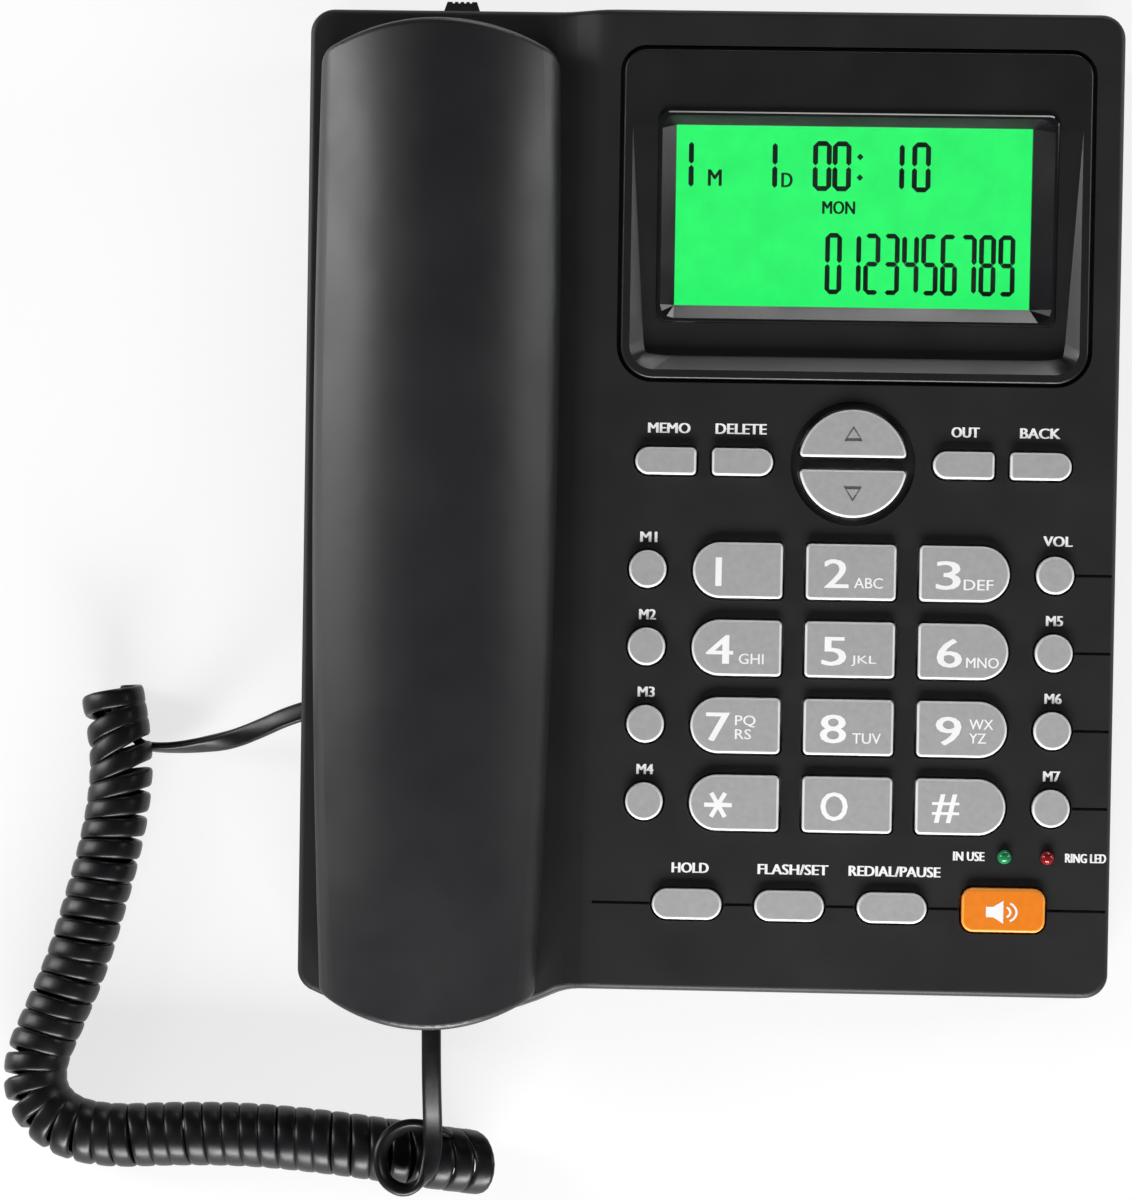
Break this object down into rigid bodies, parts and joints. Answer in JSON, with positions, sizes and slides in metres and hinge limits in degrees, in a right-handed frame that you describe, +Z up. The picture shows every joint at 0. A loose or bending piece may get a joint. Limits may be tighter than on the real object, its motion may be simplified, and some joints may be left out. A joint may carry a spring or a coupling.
{
  "type": "corded desk telephone",
  "caption": "Sloped desk telephone with a lit caller display, dial keys, side handset in a cradle and a curly cord.",
  "frame": {"origin": "on the table, under the middle of the phone's box (console and handset, without the cord)", "axes": "+X to the user's right, +Y to the rear, +Z up"},
  "size_m": [0.2339, 0.2483, 0.0619],
  "materials": {
    "casing": "fine matte texture, charcoal ABS",
    "handset": "smooth matte charcoal ABS",
    "window_gloss": "gloss black frame with a clear pane",
    "lcd": "backlit green display with dark segments",
    "light_guide": "milky acrylic",
    "key_grey": "translucent grey with white printed legends",
    "key_orange": "translucent orange with a white printed symbol",
    "silicone": "grey silicone",
    "board": "green circuit board",
    "lamp_green": "tinted clear resin",
    "lamp_red": "tinted clear resin",
    "switch_black": "black nylon",
    "plug_clear": "clear polycarbonate",
    "cord": "satin black PVC",
    "speaker_steel": "plated steel",
    "capsule_aluminium": "satin aluminium",
    "screw_steel": "zinc plated",
    "ballast_steel": "plain steel plate",
    "foot_rubber": "soft black rubber"
  },
  "bodies": {
    "base": {"upper_casing": "casing", "lower_casing": "casing", "base_screws": "screw_steel", "rubber_feet": "foot_rubber", "ballast_plate": "ballast_steel", "display_bezel": "casing", "display_window": "window_gloss", "lcd_glass": "lcd", "backlight_panel": "light_guide", "key_mat": "silicone", "main_board": "board", "led_in_use": "lamp_green", "led_ring": "lamp_red", "hook_switch": "switch_black", "handset_jack": "switch_black", "line_jack": "switch_black", "plug_base": "plug_clear", "ringer_switch": "switch_black", "loudspeaker": "speaker_steel", "hands_free_microphone": "capsule_aluminium", "cord_tail_base": "cord", "cord_curl": "cord"},
    "handset": {"handset_back_shell": "handset", "handset_front_shell": "handset", "handset_receiver": "speaker_steel", "handset_microphone": "capsule_aluminium", "plug_handset": "plug_clear", "cord_tail_handset": "cord"},
    "hook_plunger": {"hook_plunger": "casing"},
    "ringer_knob": {"ringer_knob": "casing"},
    "key_1": {"key_1": "key_grey"},
    "key_2": {"key_2": "key_grey"},
    "key_3": {"key_3": "key_grey"},
    "key_4": {"key_4": "key_grey"},
    "key_5": {"key_5": "key_grey"},
    "key_6": {"key_6": "key_grey"},
    "key_7": {"key_7": "key_grey"},
    "key_8": {"key_8": "key_grey"},
    "key_9": {"key_9": "key_grey"},
    "key_star": {"key_star": "key_grey"},
    "key_0": {"key_0": "key_grey"},
    "key_hash": {"key_hash": "key_grey"},
    "key_m1": {"key_m1": "key_grey"},
    "key_m2": {"key_m2": "key_grey"},
    "key_m3": {"key_m3": "key_grey"},
    "key_m4": {"key_m4": "key_grey"},
    "key_volume": {"key_volume": "key_grey"},
    "key_m5": {"key_m5": "key_grey"},
    "key_m6": {"key_m6": "key_grey"},
    "key_m7": {"key_m7": "key_grey"},
    "key_memo": {"key_memo": "key_grey"},
    "key_delete": {"key_delete": "key_grey"},
    "key_out": {"key_out": "key_grey"},
    "key_back": {"key_back": "key_grey"},
    "key_up": {"key_up": "key_grey"},
    "key_down": {"key_down": "key_grey"},
    "key_hold": {"key_hold": "key_grey"},
    "key_flash": {"key_flash": "key_grey"},
    "key_redial": {"key_redial": "key_grey"},
    "key_speaker": {"key_speaker": "key_orange"}
  },
  "joints": [
    {"name": "handset_lift", "type": "slide", "parent": "base", "child": "handset", "axis": [0, -0.1219, 0.9925], "range_m": [0, 0.06]},
    {"name": "hook_plunger_rise", "type": "slide", "parent": "base", "child": "hook_plunger", "axis": [0, -0.1219, 0.9925], "range_m": [0, 0.004]},
    {"name": "ringer_slide", "type": "slide", "parent": "base", "child": "ringer_knob", "axis": [1, 0, 0], "range_m": [-0.0025, 0.0025]},
    {"name": "press_1", "type": "slide", "parent": "base", "child": "key_1", "axis": [0, -0.1219, 0.9925], "range_m": [-0.001, 0], "stiffness_N_per_m": 400, "springref_m": 0.0005},
    {"name": "press_2", "type": "slide", "parent": "base", "child": "key_2", "axis": [0, -0.1219, 0.9925], "range_m": [-0.001, 0], "stiffness_N_per_m": 400, "springref_m": 0.0005},
    {"name": "press_3", "type": "slide", "parent": "base", "child": "key_3", "axis": [0, -0.1219, 0.9925], "range_m": [-0.001, 0], "stiffness_N_per_m": 400, "springref_m": 0.0005},
    {"name": "press_4", "type": "slide", "parent": "base", "child": "key_4", "axis": [0, -0.1219, 0.9925], "range_m": [-0.001, 0], "stiffness_N_per_m": 400, "springref_m": 0.0005},
    {"name": "press_5", "type": "slide", "parent": "base", "child": "key_5", "axis": [0, -0.1219, 0.9925], "range_m": [-0.001, 0], "stiffness_N_per_m": 400, "springref_m": 0.0005},
    {"name": "press_6", "type": "slide", "parent": "base", "child": "key_6", "axis": [0, -0.1219, 0.9925], "range_m": [-0.001, 0], "stiffness_N_per_m": 400, "springref_m": 0.0005},
    {"name": "press_7", "type": "slide", "parent": "base", "child": "key_7", "axis": [0, -0.1219, 0.9925], "range_m": [-0.001, 0], "stiffness_N_per_m": 400, "springref_m": 0.0005},
    {"name": "press_8", "type": "slide", "parent": "base", "child": "key_8", "axis": [0, -0.1219, 0.9925], "range_m": [-0.001, 0], "stiffness_N_per_m": 400, "springref_m": 0.0005},
    {"name": "press_9", "type": "slide", "parent": "base", "child": "key_9", "axis": [0, -0.1219, 0.9925], "range_m": [-0.001, 0], "stiffness_N_per_m": 400, "springref_m": 0.0005},
    {"name": "press_star", "type": "slide", "parent": "base", "child": "key_star", "axis": [0, -0.1219, 0.9925], "range_m": [-0.001, 0], "stiffness_N_per_m": 400, "springref_m": 0.0005},
    {"name": "press_0", "type": "slide", "parent": "base", "child": "key_0", "axis": [0, -0.1219, 0.9925], "range_m": [-0.001, 0], "stiffness_N_per_m": 400, "springref_m": 0.0005},
    {"name": "press_hash", "type": "slide", "parent": "base", "child": "key_hash", "axis": [0, -0.1219, 0.9925], "range_m": [-0.001, 0], "stiffness_N_per_m": 400, "springref_m": 0.0005},
    {"name": "press_m1", "type": "slide", "parent": "base", "child": "key_m1", "axis": [0, -0.1219, 0.9925], "range_m": [-0.001, 0], "stiffness_N_per_m": 400, "springref_m": 0.0005},
    {"name": "press_m2", "type": "slide", "parent": "base", "child": "key_m2", "axis": [0, -0.1219, 0.9925], "range_m": [-0.001, 0], "stiffness_N_per_m": 400, "springref_m": 0.0005},
    {"name": "press_m3", "type": "slide", "parent": "base", "child": "key_m3", "axis": [0, -0.1219, 0.9925], "range_m": [-0.001, 0], "stiffness_N_per_m": 400, "springref_m": 0.0005},
    {"name": "press_m4", "type": "slide", "parent": "base", "child": "key_m4", "axis": [0, -0.1219, 0.9925], "range_m": [-0.001, 0], "stiffness_N_per_m": 400, "springref_m": 0.0005},
    {"name": "press_volume", "type": "slide", "parent": "base", "child": "key_volume", "axis": [0, -0.1219, 0.9925], "range_m": [-0.001, 0], "stiffness_N_per_m": 400, "springref_m": 0.0005},
    {"name": "press_m5", "type": "slide", "parent": "base", "child": "key_m5", "axis": [0, -0.1219, 0.9925], "range_m": [-0.001, 0], "stiffness_N_per_m": 400, "springref_m": 0.0005},
    {"name": "press_m6", "type": "slide", "parent": "base", "child": "key_m6", "axis": [0, -0.1219, 0.9925], "range_m": [-0.001, 0], "stiffness_N_per_m": 400, "springref_m": 0.0005},
    {"name": "press_m7", "type": "slide", "parent": "base", "child": "key_m7", "axis": [0, -0.1219, 0.9925], "range_m": [-0.001, 0], "stiffness_N_per_m": 400, "springref_m": 0.0005},
    {"name": "press_memo", "type": "slide", "parent": "base", "child": "key_memo", "axis": [0, -0.1219, 0.9925], "range_m": [-0.001, 0], "stiffness_N_per_m": 400, "springref_m": 0.0005},
    {"name": "press_delete", "type": "slide", "parent": "base", "child": "key_delete", "axis": [0, -0.1219, 0.9925], "range_m": [-0.001, 0], "stiffness_N_per_m": 400, "springref_m": 0.0005},
    {"name": "press_out", "type": "slide", "parent": "base", "child": "key_out", "axis": [0, -0.1219, 0.9925], "range_m": [-0.001, 0], "stiffness_N_per_m": 400, "springref_m": 0.0005},
    {"name": "press_back", "type": "slide", "parent": "base", "child": "key_back", "axis": [0, -0.1219, 0.9925], "range_m": [-0.001, 0], "stiffness_N_per_m": 400, "springref_m": 0.0005},
    {"name": "press_up", "type": "slide", "parent": "base", "child": "key_up", "axis": [0, -0.1219, 0.9925], "range_m": [-0.001, 0], "stiffness_N_per_m": 400, "springref_m": 0.0005},
    {"name": "press_down", "type": "slide", "parent": "base", "child": "key_down", "axis": [0, -0.1219, 0.9925], "range_m": [-0.001, 0], "stiffness_N_per_m": 400, "springref_m": 0.0005},
    {"name": "press_hold", "type": "slide", "parent": "base", "child": "key_hold", "axis": [0, -0.1219, 0.9925], "range_m": [-0.001, 0], "stiffness_N_per_m": 400, "springref_m": 0.0005},
    {"name": "press_flash", "type": "slide", "parent": "base", "child": "key_flash", "axis": [0, -0.1219, 0.9925], "range_m": [-0.001, 0], "stiffness_N_per_m": 400, "springref_m": 0.0005},
    {"name": "press_redial", "type": "slide", "parent": "base", "child": "key_redial", "axis": [0, -0.1219, 0.9925], "range_m": [-0.001, 0], "stiffness_N_per_m": 400, "springref_m": 0.0005},
    {"name": "press_speaker", "type": "slide", "parent": "base", "child": "key_speaker", "axis": [0, -0.1219, 0.9925], "range_m": [-0.001, 0], "stiffness_N_per_m": 400, "springref_m": 0.0005}
  ],
  "couplings": [
    {"joint": "hook_plunger_rise", "follows": "handset_lift", "ratio": 0.066667}
  ]
}
